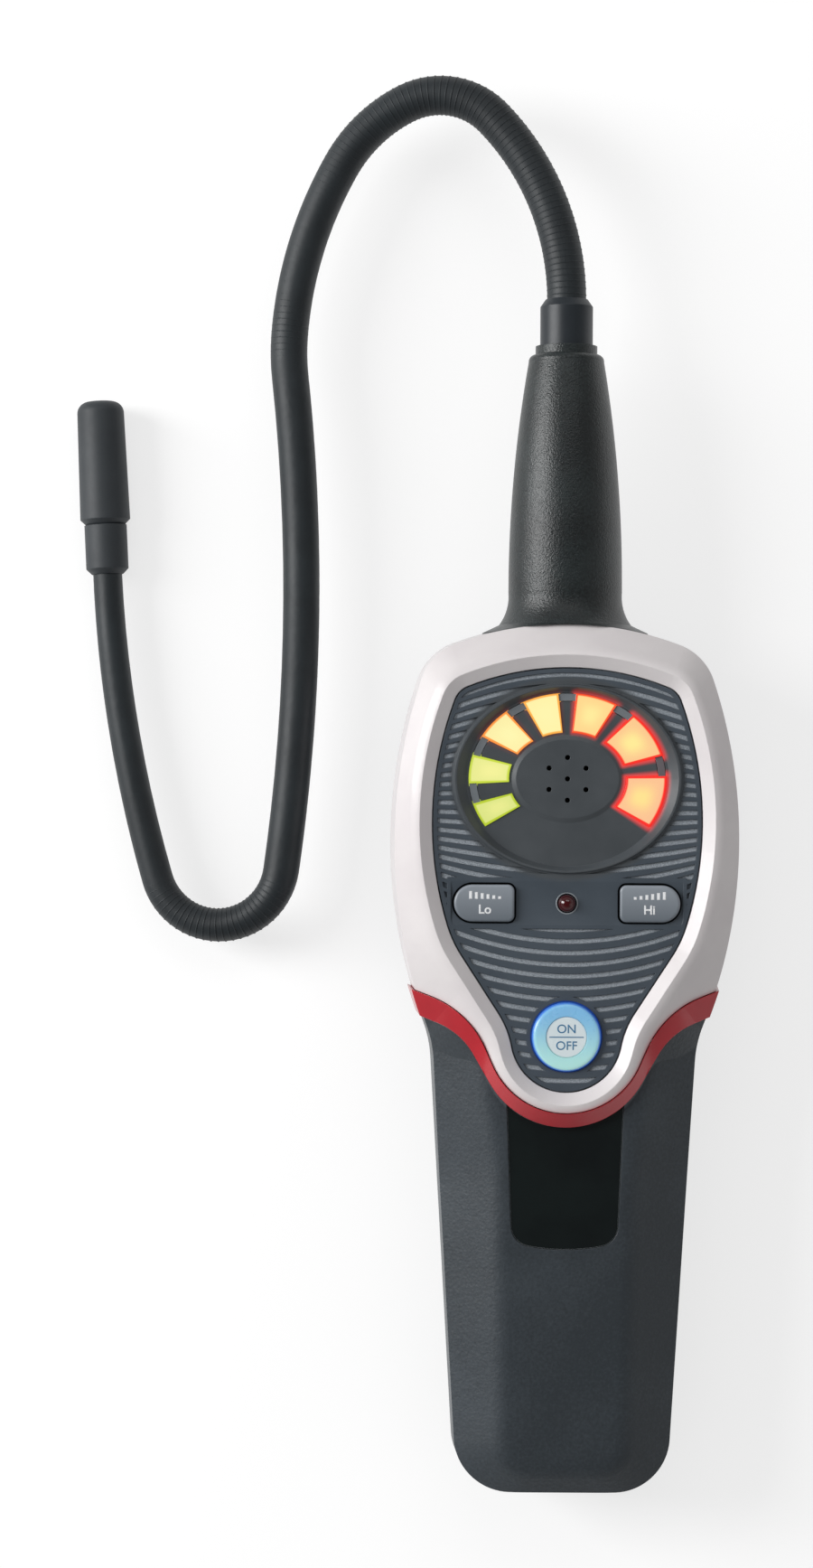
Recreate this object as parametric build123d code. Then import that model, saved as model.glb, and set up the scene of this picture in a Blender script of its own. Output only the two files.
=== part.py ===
from build123d import *
from math import asin, cos, degrees, hypot, radians, sin, tan
import os

# Hand-held electronic leak detector with a bendable probe, lying on its back.
# The origin is on the back face, under the centre of the round display dial.
# +X is to the right of the display, +Y runs towards the probe, +Z leaves the display.
# All sizes are in millimetres.

# Body outline seen from the front
head_top = 34.4
head_top_radius = 70
head_half_width = 38.2
head_side_radius = 112
head_widest_y = -13.6
head_corner_radius = 13
handle_end = -156.0
handle_end_half_width = 23.4
handle_head_half_width = 31.0
handle_head_y = -30.0
handle_corner_radius = 12.5
waist_radius = 25

# Heights of the body above its back face
parting_height = 18.0
bezel_height = 41.0
handle_height_at_trim = 36.3
handle_height_at_end = 33.8
handle_trim_y = -70.0
wall = 2.4
wall_draft = 3.0
back_draft = 6.0

# Rolled and sloping surfaces
bezel_slope_taper = 48
bezel_crest_offset = 3.6
bezel_crest_radius = 5.0
bezel_inner_taper = 55
handle_facet_taper = 58
handle_facet_radius = 8.0
facet_end_corner = 6.0
facet_waist_bend = 60.0
facet_head_half_width = 19.0
facet_head_y = -55.0
facet_waist_half_width = 14.6
facet_waist_y = -85.0
facet_end_half_width = 13.6
facet_end_margin = 6.0
back_slopes = ((6.0, 28), (2.0, 62))

# Control panel outline
panel_top = 23.75
panel_top_radius = 58
panel_half_width = 28.9
panel_side_radius = 75.5
panel_widest_y = -9.35
panel_corner_radius = 4.5
panel_flank_turn = 33
panel_flank_x = 18.4
panel_flank_y = -44.4
panel_shoulder_radius = 25
panel_foot_radius = 11.8
panel_foot_y = -55.5
panel_foot_blend = 20

# Control panel heights and fits
panel_face = 39.0
panel_seat = 36.75
panel_thickness = 3.8
panel_flange = 1.6
panel_gap = 0.3
rib_pitch = 2.5
rib_groove = 1.1
rib_depth = 0.5
rib_straight_y = -6.0
rib_bend_rate = 1 / 1700
rib_bend_limit = 1 / 68

# Display dial
dial_lip = (25.1, 20.7)
dial_lip_top = (24.4, 20.2)
dial_rim = (23.9, 19.8)
dial_floor = (21.9, 18.9)
dial_hub = (12.5, 9.9)
dial_lip_height = 0.75
dial_depth = 1.0
dial_hub_height = 0.45
window_outer = (21.2, 18.4)
window_inner = (12.7, 10.1)
link_inner = (19.6, 16.8)
window_first_angle = 210.0
window_gap_angle = 12.0
window_widths = (15, 17, 21.5, 24, 28, 30.5, 32)
window_proud = 0.3
window_fit = 0.12
lens_base = 1.5
lens_margin = 0.9
sound_hole_radius = 0.55
sound_hole_ring = 4.6
sound_hole_count = 6

# Buttons and status light
bar_y = -26.8
bar_height = 9.4
bar_half_width = 25.0
bar_hollow = 0.4
key_length = 13.2
key_height = 8.2
key_corner = 1.5
key_x = 17.85
key_proud = 1.0
key_gap = 0.3
key_travel = 0.6
power_y = -55.5
power_radius = 7.45
power_disc_radius = 4.4
power_proud = 1.5
power_travel = 0.8
button_flange = 0.9
button_flange_thickness = 0.8
button_flange_gap = 0.2
status_led_radius = 1.9
led_fit = 0.15

# Red trim band between the bezel and the handle
seam_gap = 0.15
seam_upper = dict(centre_y=-54.6, bottom=17.4, flank=4.1, flank_turn=66, shoulder=19.9, shoulder_turn=19)
seam_lower = dict(centre_y=-56.2, bottom=18.95, flank=7.2, flank_turn=60, shoulder=14.6, shoulder_turn=20)
trim_proud = 0.7
trim_depth = 1.2
shelf_gap = 0.1

# Label plate let into the front of the handle
label_top_half_width = 13.0
label_top_y = -60.0
label_end_half_width = 11.3
label_end_y = -101.8
label_corner_radius = 4.5
label_end_radius = 42
label_thickness = 0.7
label_inset = 0.25
label_fit = 0.1

# Battery bay, door and cells
cell_radius = 7.1
cell_length = 49.3
cell_nub_radius = 2.75
cell_nub_length = 1.2
cell_pitch = 14.9
cell_rows = 2
door_thickness = 2.2
door_gap = 0.25
cell_door_gap = 0.4
door_wrap_height = 12.0
bay_end_y = -149.9
bay_wall = 1.6
bay_side_gap = 0.45
contact_gap = 1.3
contact_thickness = 0.4
rail_reach = 1.35
rail_thickness = 0.8
rail_fit = 0.2
rail_start_y = -130.5
door_grip_count = 5
door_grip_pitch = 3.0
door_grip_y = 12.0
door_grip_reach = 8.0
door_grip_depth = 0.5

# Electronics
board_top = 29.0
board_thickness = 1.6
board_half_width = 26.5
board_tail_half_width = 11.5
board_top_y = 24.0
board_waist_y = -37.0
board_end_y = -65.0
switch_size = 6.0
switch_height = 3.5
switch_plunger_radius = 1.6
switch_plunger_height = 0.8
chip_size = (3.2, 2.8, 1.9)
buzzer_radius = 6.0
buzzer_height = 5.6
baffle_margin = 1.2
post_radius = 2.8
board_post_places = ((23.5, 12.0), (23.5, -32.0))

# Screws
screw_radius = 1.2
screw_fit = 0.05
screw_room = 0.3
screw_head_radius = 2.4
screw_head_height = 1.8
screw_seat = 8.0
screw_length = 18.0
screw_recess = 2.4
screw_slot = 0.6
boss_radius = 2.8
case_screw_places = ((30.5, 12.0), (27.5, -39.0), (19.4, -136.5))

# Neck boot and ferrule, turned about the probe axis
neck_height = 22.0
boot_flange_half_width = 18.2
boot_flange_y = 32.0
boot_base_radius = 14.6
boot_base_y = 33.7
boot_root_radius = 12.5
boot_root_y = 41.0
boot_waist_radius = 11.35
boot_waist_y = 68.0
boot_neck_radius = 8.3
boot_neck_y = 91.7
boot_ring_radius = 6.8
boot_top_y = 95.1
boot_bore_radius = 6.3
boot_spigot_radius = 10.0
boot_spigot_y = 26.5
boot_collar_radius = 12.5
boot_collar_length = 3.0
neck_fit = 0.2
ferrule_radius = 5.8
ferrule_top_y = 105.4
ferrule_chamfer = 1.6
ferrule_shank = 9.0

# Gooseneck: one plane that leans so that the sensor head lies on the table
probe_reach = 104.9
probe_lift = 0.2
gooseneck_start_y = 97.0
gooseneck_exit_y = 105.0
gooseneck_bends = (
    (59, 44, 8.6), (17, 71.5, 8.5), (33, 34.5, 8.3), (88, 26, 8.2), (50, 10.5, 8.2),
    (435, -14.5, 8.0), (14.5, -77.7, 7.4), (14.5, -77.7, 7.0), (296, -8.5, 6.7), (280, -5.2, 6.5),
)
gooseneck_root_diameter = 8.6
core_diameter = 4.8
core_tail = 17.0
nut_across_flats = 10.0
nut_height = 5.0
probe_fit = 0.05

# Sensor head
socket_radius = 4.75
socket_length = 11.0
socket_grip = 7.0
socket_chamfer = 1.2
cap_base_radius = 5.6
cap_tip_radius = 5.2
cap_length = 27.8
cap_chamfer = 1.3
cap_shoulder = 2.6
cap_base_wall = 1.5
cap_bore_radius = 4.2
cap_tip_wall = 2.2
cap_inlet_radius = 1.2
element_radius = 3.4
element_length = 13.0
element_stem_radius = 1.8

skirt_height = 3.0
far = 80.0


# Small helpers

def nearest(sketch, *places):
    """The vertices of a sketch that lie nearest to the given places, mirrored in X."""
    found = []
    for x, y in places:
        for side in (1, -1):
            found.append(min(sketch.vertices(), key=lambda v: hypot(v.X - side * x, v.Y - y)))
    return found


def joined(*sketches):
    """Sketches turned the same way up and joined into one."""
    return Sketch() + [facing(face, (0, 0, 1)) for sketch in sketches for face in sketch.faces()]


def at_height(z, sketch):
    return Pos(0, 0, z) * sketch


def facing(face, direction):
    """The face, turned over where its normal points away from the direction."""
    return face if face.normal_at().dot(Vector(*direction)) > 0 else -face


def drawn(sketch, start, rise, taper=0.0):
    """A sketch extruded up or down from a height, narrowing by the taper in degrees."""
    if rise > 0 and taper > 0:
        return mirror(drawn(sketch, start, -rise, taper), Plane.XY.offset(start))
    direction = (0, 0, 1 if rise > 0 else -1)
    faces = [facing(face, direction) for face in at_height(start, sketch).faces()]
    return Part() + [extrude(face, amount=abs(rise), taper=taper) for face in faces]


def column(sketch, low, high):
    return drawn(sketch, low, high - low)


def block(x_low, x_high, y_low, y_high, z_low, z_high):
    size = (x_high - x_low, y_high - y_low, z_high - z_low)
    middle = ((x_high + x_low) / 2, (y_high + y_low) / 2, (z_high + z_low) / 2)
    return Pos(*middle) * Box(*size)


def both_sides(shape):
    return shape + mirror(shape, Plane.YZ)


def barrel(radius, low, high, x=0.0, y=0.0):
    """An upright cylinder between two heights."""
    return Pos(x, y, low) * Cylinder(radius, high - low, align=(Align.CENTER, Align.CENTER, Align.MIN))


def lens_shape(radius, half_width, middle_y):
    """Two large arcs that face each other across the centre line."""
    reach = radius - half_width
    left = Pos(-reach, middle_y) * Circle(radius)
    right = Pos(reach, middle_y) * Rot(0, 0, 180) * Circle(radius)
    return left & right


def arched_top(top_y, radius):
    return Pos(0, top_y - radius) * Rot(0, 0, 90) * Circle(radius)


# Outlines

def body_outline():
    head = arched_top(head_top, head_top_radius) & lens_shape(head_side_radius, head_half_width, head_widest_y)
    handle = Polygon(
        (-handle_head_half_width, handle_head_y), (handle_head_half_width, handle_head_y),
        (handle_end_half_width, handle_end), (-handle_end_half_width, handle_end), align=None,
    )
    outline = joined(head, handle)
    outline = fillet(nearest(outline, (30.4, 27.5)), head_corner_radius)
    outline = fillet(nearest(outline, (29.4, -57.2)), waist_radius)
    return fillet(nearest(outline, (handle_end_half_width, handle_end)), handle_corner_radius)


def panel_outline():
    def flank(y):
        return panel_flank_x + (y - panel_flank_y) * tan(radians(panel_flank_turn))

    top, low = panel_top + 20, panel_foot_y - 10
    wedge = Polygon((-flank(top), top), (flank(top), top), (flank(low), low), (-flank(low), low), align=None)
    shield = arched_top(panel_top, panel_top_radius)
    shield = shield & lens_shape(panel_side_radius, panel_half_width, panel_widest_y) & wedge
    outline = joined(shield, arched_top(panel_foot_y + panel_foot_radius, panel_foot_radius))
    outline = fillet(nearest(outline, (23.5, 18.8)), panel_corner_radius)
    outline = fillet(nearest(outline, (24.3, -35.3)), panel_shoulder_radius)
    return fillet(nearest(outline, (panel_foot_radius, panel_foot_y + 0.9)), panel_foot_blend)


def seam_region(centre_y, bottom, flank, flank_turn, shoulder, shoulder_turn):
    """Everything on the display side of one seam curve."""
    foot = CenterArc((0, centre_y), bottom, -90, flank_turn)
    side = PolarLine(foot @ 1, flank, flank_turn)
    heading = radians(flank_turn)
    pivot = (side @ 1) + Vector(sin(heading), -cos(heading)) * shoulder
    turn = CenterArc(pivot, shoulder, flank_turn + 90, shoulder_turn - flank_turn)
    run = PolarLine(turn @ 1, far, shoulder_turn)
    corner = Vector((run @ 1).X, far)
    half = make_face(Wire([foot, side, turn, run, Line(run @ 1, corner), Line(corner, (0, far)),
                           Line((0, far), foot @ 0)]))
    return half + mirror(half, Plane.YZ)


def label_outline():
    plate = Polygon(
        (-label_top_half_width, label_top_y), (label_top_half_width, label_top_y),
        (label_end_half_width, label_end_y - 2), (-label_end_half_width, label_end_y - 2), align=None,
    )
    plate = plate & (Pos(0, label_end_y + label_end_radius) * Circle(label_end_radius)
                     + Pos(0, label_top_y) * Rectangle(far, 2 * (label_end_radius - 10)))
    corners = [v for v in plate.vertices() if v.Y < label_end_y + 5 and abs(v.X) > label_end_half_width - 1]
    return fillet(corners, label_corner_radius)


def ellipse(radii):
    return Ellipse(*radii)


def sector(start_angle, end_angle):
    """A wedge from the dial centre, wide enough to cut any dial ring."""
    middle = radians((start_angle + end_angle) / 2)
    start, end = radians(start_angle), radians(end_angle)
    return Polygon((0, 0), (far * cos(start), far * sin(start)), (far * cos(middle), far * sin(middle)),
                   (far * cos(end), far * sin(end)), align=None)


def window_spans():
    """Start and end angle of each display window, from the lower left round to the lower right."""
    spans, angle = [], window_first_angle
    for width in window_widths:
        spans.append((angle - width, angle))
        angle -= width + window_gap_angle
    return spans


# Outer form of the body, moved inwards by an inset

outline = body_outline()
panel = panel_outline()


def plan(inset):
    return offset(outline, -inset) if inset else outline


def upper_walls(inset):
    return drawn(plan(inset), parting_height, far - parting_height, wall_draft)


def head_cap(height, margin, crest_radius=0.0):
    cap = drawn(offset(panel, margin), height, -bezel_height / 2, -bezel_slope_taper)
    if crest_radius:
        cap = cap.fillet(crest_radius, cap.edges().filter_by(lambda e: abs(e.center().Z - height) < 0.01))
    return cap


def handle_cap(drop, crest_radius=0.0):
    """The flat front of the handle with its sloping facets."""
    fall = (handle_height_at_trim - handle_height_at_end) / (handle_trim_y - handle_end)
    plane = Plane(origin=(0, handle_trim_y, handle_height_at_trim - drop), x_dir=(1, 0, 0), z_dir=(0, -fall, 1))
    facet_end_y = handle_end + facet_end_margin
    half = [(facet_head_half_width, facet_head_y), (facet_waist_half_width, facet_waist_y),
            (facet_end_half_width, facet_end_y)]
    crest = Polygon(*half, *[(-x, y) for x, y in reversed(half)], align=None)
    crest = fillet(nearest(crest, half[2]), facet_end_corner)
    crest = fillet(nearest(crest, half[1]), facet_waist_bend)
    crest_face = facing((plane * Pos(0, -handle_trim_y) * crest).face(), -plane.z_dir)
    cap = extrude(crest_face, amount=handle_height_at_end / 2, taper=-handle_facet_taper)
    if crest_radius:
        top = cap.faces().sort_by(Axis.Z)[-1]
        cap = cap.fillet(crest_radius, top.edges())
    return cap


def lower_shape(inset):
    """The body behind the parting line, its back rounded off in two slopes."""
    (upper_rise, upper_taper), (lower_rise, lower_taper) = back_slopes
    middle = inset + lower_rise
    top = middle + upper_rise
    shrink = upper_rise * tan(radians(upper_taper))
    back = column(outline, top, parting_height + 1)
    back += drawn(outline, top, -upper_rise, upper_taper)
    back += drawn(offset(outline, -shrink), middle, -lower_rise, lower_taper)
    return back & drawn(plan(inset), parting_height, -parting_height, back_draft)


skirt = column(Rectangle(4 * far, 6 * far), parting_height, parting_height + skirt_height)


def upper_shape(inset):
    """The body in front of the parting line, moved inwards by an inset."""
    return upper_walls(inset) & (head_cap(bezel_height - inset, bezel_crest_offset) + handle_cap(inset) + skirt)


upper_form = upper_walls(0) & (head_cap(bezel_height, bezel_crest_offset, bezel_crest_radius)
                               + handle_cap(0, handle_facet_radius) + skirt)
upper_cavity = upper_walls(wall) & (head_cap(panel_seat, bezel_crest_offset + 1) + handle_cap(wall) + skirt)
lower_form = lower_shape(0)
upper_region = seam_region(**seam_upper)
lower_region = seam_region(**seam_lower)


# Casing

def screw_places():
    return [(side * x, y) for x, y in case_screw_places for side in (1, -1)]


def post_places():
    return [(side * x, y) for x, y in board_post_places for side in (1, -1)]


def neck_plane(y=0.0):
    """A plane across the probe axis, looking along +Y, at a distance from the dial centre."""
    return Plane(origin=(0, y, neck_height), x_dir=(1, 0, 0), z_dir=(0, 1, 0))


def neck_barrel(radius, low, high):
    return extrude(neck_plane(low) * Circle(radius), amount=high - low)


bay_half_width = cell_pitch / 2 + cell_radius + bay_side_gap
bay_start_y = bay_end_y + cell_rows * (cell_length + cell_nub_length) + 2 * contact_gap
bay_roof = door_thickness + cell_door_gap + 2 * cell_radius + cell_door_gap
cell_height = door_thickness + cell_door_gap + cell_radius
door_half_width = bay_half_width
rail_low = door_thickness - rail_thickness - rail_fit


def make_rear_case():
    outer = bay_half_width + bay_wall
    inside = block(-outer, outer, bay_end_y - bay_wall, bay_start_y + bay_wall, wall / 2, bay_roof + bay_wall / 2)
    for x, y in screw_places():
        inside += barrel(screw_head_radius + bay_wall, wall / 2, parting_height, x, y)
    for x, y in post_places():
        inside += barrel(post_radius, wall / 2, parting_height, x, y)
    case = lower_form - lower_shape(wall) + (inside & lower_shape(wall / 2))
    for x, y in post_places():
        case += barrel(post_radius, parting_height, board_top - board_thickness, x, y)
    case -= block(-bay_half_width, bay_half_width, bay_end_y, bay_start_y, -1, bay_roof)
    door_cut = door_half_width + door_gap
    case -= block(-door_cut, door_cut, 2 * handle_end, bay_start_y + door_gap, -1, door_thickness)
    case -= block(-door_cut, door_cut, 2 * handle_end, bay_end_y - bay_wall, -1, door_wrap_height + door_gap)
    groove = door_half_width + rail_reach + rail_fit
    case -= block(-groove, groove, 2 * handle_end, bay_start_y, rail_low - rail_fit, door_thickness + rail_fit)
    for x, y in screw_places():
        case -= barrel(screw_head_radius + screw_room, -1, screw_seat, x, y)
        case -= barrel(screw_radius + screw_room, 0, parting_height + 1, x, y)
    return case - neck_barrel(boot_spigot_radius + neck_fit, boot_spigot_y - 2, far)


def make_battery_door():
    skin = lower_form & block(-door_half_width, door_half_width, 2 * handle_end, bay_start_y, -1, door_wrap_height)
    wrap = skin - lower_shape(door_thickness)
    wrap &= block(-far, far, 2 * handle_end, bay_end_y - bay_wall - door_gap, -1, far)
    door = wrap + (skin & block(-far, far, 2 * handle_end, far, -1, door_thickness))
    reach = door_half_width + rail_reach
    door += block(-reach, reach, rail_start_y, bay_start_y - 2, rail_low, rail_low + rail_thickness)
    for k in range(door_grip_count):
        y = bay_end_y + door_grip_y + k * door_grip_pitch
        door -= block(-door_grip_reach, door_grip_reach, y, y + door_grip_pitch / 2, -1, door_grip_depth)
    return door


def make_front_case():
    case = upper_form - column(lower_region, 0, far) - upper_cavity
    shelf = upper_shape(trim_depth + shelf_gap) - upper_shape(2 * wall)
    case += shelf & column(offset(lower_region, 2 * trim_depth) - upper_region, 0, far)
    room = upper_shape(wall / 2)
    for x, y in screw_places():
        if y < handle_trim_y:
            case += barrel(boss_radius, parting_height, panel_seat, x, y) & room
            case -= barrel(screw_radius + screw_fit, parting_height - 1, screw_seat + screw_length + 1, x, y)
    recess = column(offset(label_region, label_fit), parting_height, far) - handle_cap(label_inset + label_thickness)
    return case - recess


def make_label():
    band = handle_cap(label_inset) - handle_cap(label_inset + label_thickness)
    return band & column(label_region, parting_height, far)


def make_bezel():
    shell = upper_form & column(offset(upper_region, -seam_gap), 0, far)
    shell -= upper_cavity
    ring = offset(panel, panel_gap)
    shell -= column(ring, 0, far)
    shell -= drawn(ring, panel_face, bezel_height - panel_face + 0.5, -bezel_inner_taper)
    room = upper_shape(wall / 2)
    for x, y in screw_places():
        if y > handle_trim_y:
            shell += barrel(boss_radius, parting_height, panel_seat, x, y) & room
            shell -= barrel(screw_radius + screw_fit, parting_height - 1, screw_seat + screw_length + 1, x, y)
    return shell - neck_barrel(boot_spigot_radius + neck_fit, boot_spigot_y - 2, far)


def make_trim():
    proud = upper_shape(-trim_proud)
    sunk = upper_shape(trim_depth)
    return (proud - sunk) & column(lower_region - upper_region, parting_height, far)


label_region = label_outline() - offset(lower_region, label_fit)
nodes = {}
nodes["rear_case"] = make_rear_case()
nodes["battery_door"] = make_battery_door()
nodes["front_case"] = make_front_case()
nodes["bezel"] = make_bezel()
nodes["trim_band"] = make_trim()
nodes["label_plate"] = make_label()


# Control panel

def rib_grooves():
    """Curved grooves that arch over the dial, straighten beside it and sag below it."""
    grooves = []
    y = panel_top - rib_pitch / 2
    while y > panel_foot_y - panel_foot_radius:
        bend = max(-rib_bend_limit, (y - rib_straight_y) * rib_bend_rate)
        if abs(bend) < 1 / 2000:
            strip = Pos(0, y) * Rectangle(3 * panel_half_width, rib_groove)
        else:
            radius = 1 / bend
            outer = Circle(abs(radius) + rib_groove / 2) - Circle(abs(radius) - rib_groove / 2)
            half = Pos(0, radius) * Rectangle(3 * panel_half_width, 2 * panel_half_width)
            strip = Pos(0, y - radius) * (outer & half)
        grooves.append(strip)
        y -= rib_pitch
    return Sketch() + grooves


def key_outline(side, grow=0.0):
    """A button with a round outer end and nearly square inner corners."""
    half = key_height / 2
    shape = Pos(-half / 2) * Rectangle(key_length - half, key_height)
    shape = fillet([v for v in shape.vertices() if v.X < 0], key_corner)
    shape += Pos(key_length / 2 - half) * Circle(half)
    shape = Pos(key_x, bar_y) * shape
    shape = offset(shape, grow) if grow else shape
    return shape if side > 0 else mirror(shape, Plane.YZ)


def ring_plan(margin, start, end, inner=window_inner):
    """A stretch of the dial's window ring, grown by a margin all round."""
    turn = degrees(margin / window_outer[0])
    ring = Ellipse(window_outer[0] + margin, window_outer[1] + margin)
    return (ring - Ellipse(inner[0] - margin, inner[1] - margin)) & sector(start - turn, end + turn)


def lens_plans(grow=0.0):
    """The windows and the thin link that joins them along the outer edge."""
    spans = window_spans()
    return [ring_plan(grow, *span) for span in spans] + [ring_plan(grow, spans[-1][0] + 1, spans[0][1] - 1, link_inner)]


def cone_between(low, low_radii, high, high_radii):
    return loft([at_height(low, Ellipse(*low_radii)), at_height(high, Ellipse(*high_radii))], ruled=True)


lens_start = window_first_angle - sum(window_widths) - window_gap_angle * (len(window_widths) - 1)
dial_floor_height = panel_face - dial_depth
lens_bottom = panel_face - panel_thickness
lens_pocket = lens_bottom + lens_base + window_fit


def make_control_panel():
    plate = column(panel, panel_seat, panel_face) + column(offset(panel, panel_flange), lens_bottom, panel_seat)
    bar = Pos(0, bar_y) * Rectangle(2 * bar_half_width, bar_height)
    ribbed = offset(panel, -0.9) - Ellipse(*dial_lip) - Pos(0, bar_y) * Rectangle(
        2 * bar_half_width + 1.6, bar_height + 1.6)
    ribbed -= Pos(0, power_y) * Circle(power_radius + 1.2)
    plate -= column(rib_grooves() & ribbed, panel_face - rib_depth, far)
    scoop_radius = (bar_height / 2) ** 2 / (2 * bar_hollow)
    scoop = extrude(Plane.YZ * Pos(bar_y, panel_face - bar_hollow + scoop_radius) * Circle(scoop_radius),
                    amount=bar_half_width, both=True)
    plate -= scoop & column(bar & offset(panel, -0.9), 0, far)
    lip_top = panel_face + dial_lip_height
    plate += cone_between(panel_face - rib_depth, dial_lip, lip_top, dial_lip_top)
    plate -= cone_between(dial_floor_height, dial_floor, lip_top, dial_rim)
    hub_foot = (dial_hub[0] - 0.2, dial_hub[1] - 0.2)
    hub_top = (dial_hub[0] - 1.4, dial_hub[1] - 1.4)
    plate += cone_between(dial_floor_height - 0.1, hub_foot, dial_floor_height + dial_hub_height, hub_top)
    for plan_part in lens_plans(window_fit):
        plate -= column(plan_part, 0, far)
    plate -= column(ring_plan(lens_margin + window_fit, lens_start - 3, window_first_angle + 3), 0, lens_pocket)
    for side in (1, -1):
        plate -= column(key_outline(side, key_gap), 0, far)
    plate -= barrel(power_radius + key_gap, 0, far, 0, power_y)
    plate -= barrel(status_led_radius + led_fit, 0, far, 0, bar_y)
    plate -= barrel(sound_hole_radius, 0, far)
    for k in range(sound_hole_count):
        turn = radians(90 + 360 * k / sound_hole_count)
        plate -= barrel(sound_hole_radius, 0, far, sound_hole_ring * cos(turn), sound_hole_ring * sin(turn))
    return plate


def make_lens():
    base = column(ring_plan(lens_margin, lens_start - 2.6, window_first_angle + 2.6), lens_bottom,
                  lens_bottom + lens_base)
    *windows, link = lens_plans()
    lens = base + column(link, lens_bottom, dial_floor_height)
    for window in windows:
        lens += column(window, lens_bottom, dial_floor_height + window_proud)
    return lens


def make_baffle():
    frame = ring_plan(baffle_margin, lens_start - 3, window_first_angle + 3)
    for span in window_spans():
        frame -= ring_plan(0, *span)
    return column(frame, board_top, lens_bottom - 0.05)


def make_key(side):
    top = column(key_outline(side), lens_bottom - 1, panel_face + key_proud)
    top = fillet(top.edges().group_by(Axis.Z)[-1], 0.7)
    flange_top = lens_bottom - button_flange_gap
    return top + column(key_outline(side, button_flange), flange_top - button_flange_thickness, flange_top)


def make_power_button():
    flange_top = lens_bottom - button_flange_gap
    body = barrel(power_radius, flange_top - 0.1, panel_face + power_proud, 0, power_y)
    body = fillet(body.edges().group_by(Axis.Z)[-1], 1.0)
    body += barrel(power_radius + button_flange, flange_top - button_flange_thickness, flange_top, 0, power_y)
    return body - barrel(power_disc_radius + 0.05, panel_face + power_proud - 1.0, far, 0, power_y)


def make_power_disc():
    low = panel_face + power_proud - 1.0
    disc = barrel(power_disc_radius, low, low + 0.85, 0, power_y)
    return fillet(disc.edges().group_by(Axis.Z)[-1], 0.25)


def make_status_led():
    top = panel_face + 1.4
    lamp = barrel(status_led_radius, board_top + 3, top - status_led_radius, 0, bar_y)
    lamp += Pos(0, bar_y, top - status_led_radius) * Sphere(status_led_radius)
    lamp += barrel(status_led_radius + 0.5, board_top + 3, board_top + 4, 0, bar_y)
    for side in (1, -1):
        lamp += block(side * 1.27 - 0.25, side * 1.27 + 0.25, bar_y - 0.25, bar_y + 0.25, board_top, board_top + 3.2)
    return lamp


nodes["control_panel"] = make_control_panel()
nodes["indicator_lens"] = make_lens()
nodes["light_baffle"] = make_baffle()
nodes["sensitivity_low_button"] = make_key(-1)
nodes["sensitivity_high_button"] = make_key(1)
nodes["power_button"] = make_power_button()
nodes["power_button_disc"] = make_power_disc()
nodes["status_led"] = make_status_led()


# Electronics and power

def make_board():
    plan = Pos(0, (board_top_y + board_waist_y) / 2) * Rectangle(2 * board_half_width, board_top_y - board_waist_y)
    plan = fillet(plan.vertices(), 4)
    plan += Pos(0, (board_waist_y + board_end_y) / 2) * Rectangle(
        2 * board_tail_half_width, board_waist_y - board_end_y + 2)
    return column(plan, board_top - board_thickness, board_top)


def make_switch(x, y):
    size = switch_size
    body = block(x - size / 2, x + size / 2, y - size / 2, y + size / 2, board_top, board_top + switch_height)
    return body + barrel(switch_plunger_radius, board_top + switch_height - 0.1,
                         board_top + switch_height + switch_plunger_height, x, y)


def make_cell(x, start_y):
    can = Pos(x, start_y, cell_height) * Rot(-90, 0, 0) * Cylinder(
        cell_radius, cell_length, align=(Align.CENTER, Align.CENTER, Align.MIN))
    can = fillet(can.edges(), 0.6)
    nub = Pos(x, start_y + cell_length - 0.1, cell_height) * Rot(-90, 0, 0) * Cylinder(
        cell_nub_radius, cell_nub_length + 0.1, align=(Align.CENTER, Align.CENTER, Align.MIN))
    return can + nub


nodes["circuit_board"] = make_board()
for k, span in enumerate(window_spans()):
    turn = radians(sum(span) / 2)
    middle = [(outer + inner) / 2 for outer, inner in zip(window_outer, window_inner)]
    reach = 1 / hypot(cos(turn) / middle[0], sin(turn) / middle[1])
    length, width, height = chip_size
    chip = Box(length, width, height, align=(Align.CENTER, Align.CENTER, Align.MIN))
    nodes[f"indicator_led_{k + 1}"] = Pos(reach * cos(turn), reach * sin(turn), board_top) * Rot(0, 0, sum(span) / 2) * chip
nodes["low_switch"] = make_switch(-key_x, bar_y)
nodes["high_switch"] = make_switch(key_x, bar_y)
nodes["power_switch"] = make_switch(0, power_y)
nodes["buzzer"] = barrel(buzzer_radius, board_top, board_top + buzzer_height) - barrel(
    1.2, board_top + buzzer_height - 1, far)
for k in range(2 * cell_rows):
    column_x = cell_pitch / 2 * (1 if k % 2 else -1)
    row_y = bay_end_y + contact_gap + (k // 2) * (cell_length + cell_nub_length)
    nodes[f"battery_cell_{k + 1}"] = make_cell(column_x, row_y)


def make_contact(x, y, face):
    """A nickel plate on a bay wall with a bowed leaf that presses on the cell."""
    plate = block(x - 5.5, x + 5.5, y, y + face * contact_thickness, cell_height - 5.5, cell_height + 5.5) if (
        face > 0) else block(x - 5.5, x + 5.5, y + face * contact_thickness, y, cell_height - 5.5, cell_height + 5.5)
    reach = contact_gap - 0.05
    low, high = sorted((y, y + face * reach))
    return plate + block(x - 1.5, x + 1.5, low, high, cell_height - 3.0, cell_height + 3.0)


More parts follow.
